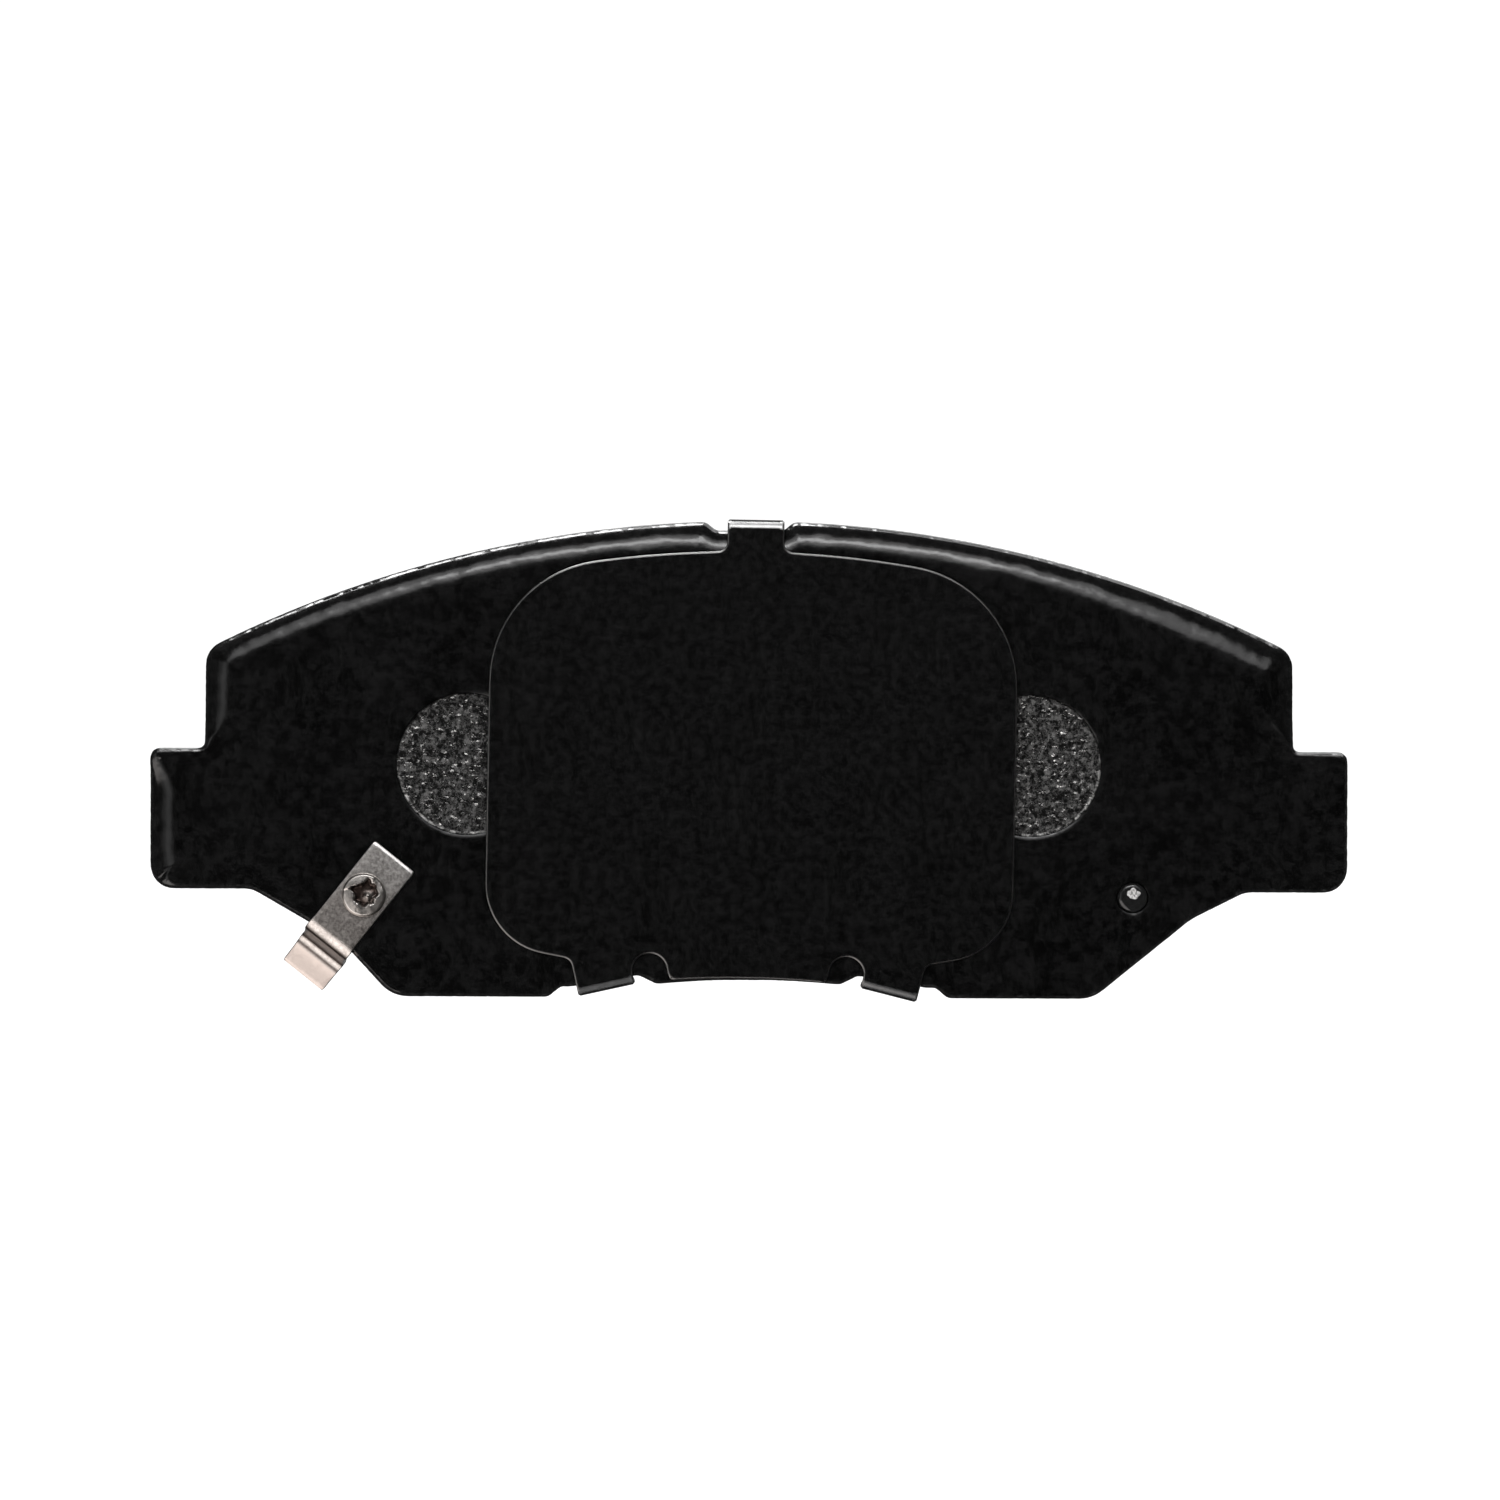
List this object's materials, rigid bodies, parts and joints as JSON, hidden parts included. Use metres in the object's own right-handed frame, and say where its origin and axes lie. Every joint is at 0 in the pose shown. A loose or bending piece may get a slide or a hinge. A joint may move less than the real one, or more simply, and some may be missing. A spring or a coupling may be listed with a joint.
{
  "type": "disc brake pad",
  "caption": "Disc brake pad with end ears, moulded lining plugs, a clip-on rubber-coated shim and a riveted spring-strip wear indicator.",
  "frame": {"origin": "on the shim's outer face, midway between the two ear ends, at the height of the two big moulded plugs", "axes": "+X to the pad's right end seen from the piston, +Y through the plate to the disc, +Z outward, to the curved crown"},
  "size_m": [0.15, 0.019, 0.0603],
  "materials": {
    "painted_plate": "black powder coat, semi-gloss, fine texture",
    "adhesive": "cured phenolic film",
    "underlayer": "pressed granular, matte, with bright metal specks",
    "friction": "ground granular, matte, with metal specks",
    "shim_steel": "cold rolled, sheared edges",
    "shim_rubber": "black nitrile coating, matte",
    "spring_steel": "satin, warm grey",
    "rivet_steel": "zinc plated, bright"
  },
  "bodies": {
    "pad": {"backing_plate": "painted_plate", "adhesive_film": "adhesive", "underlayer": "underlayer", "friction_block": "friction", "wear_indicator_foot": "spring_steel", "rivet": "rivet_steel"},
    "shim": {"shim_core": "shim_steel", "shim_outer_rubber": "shim_rubber", "shim_inner_rubber": "shim_rubber"},
    "indicator_reed": {"wear_indicator_reed": "spring_steel"}
  },
  "joints": [
    {"name": "shim_lift", "type": "slide", "parent": "pad", "child": "shim", "axis": [0, -1, 0], "range_m": [0, 0.012]},
    {"name": "wear_indicator_flex", "type": "hinge", "parent": "pad", "child": "indicator_reed", "pos_m": [-0.0519, -0.00006, -0.02126], "axis": [-0.7837, 0, 0.6211], "range_deg": [0, 4], "stiffness_Nm_per_rad": 9}
  ]
}
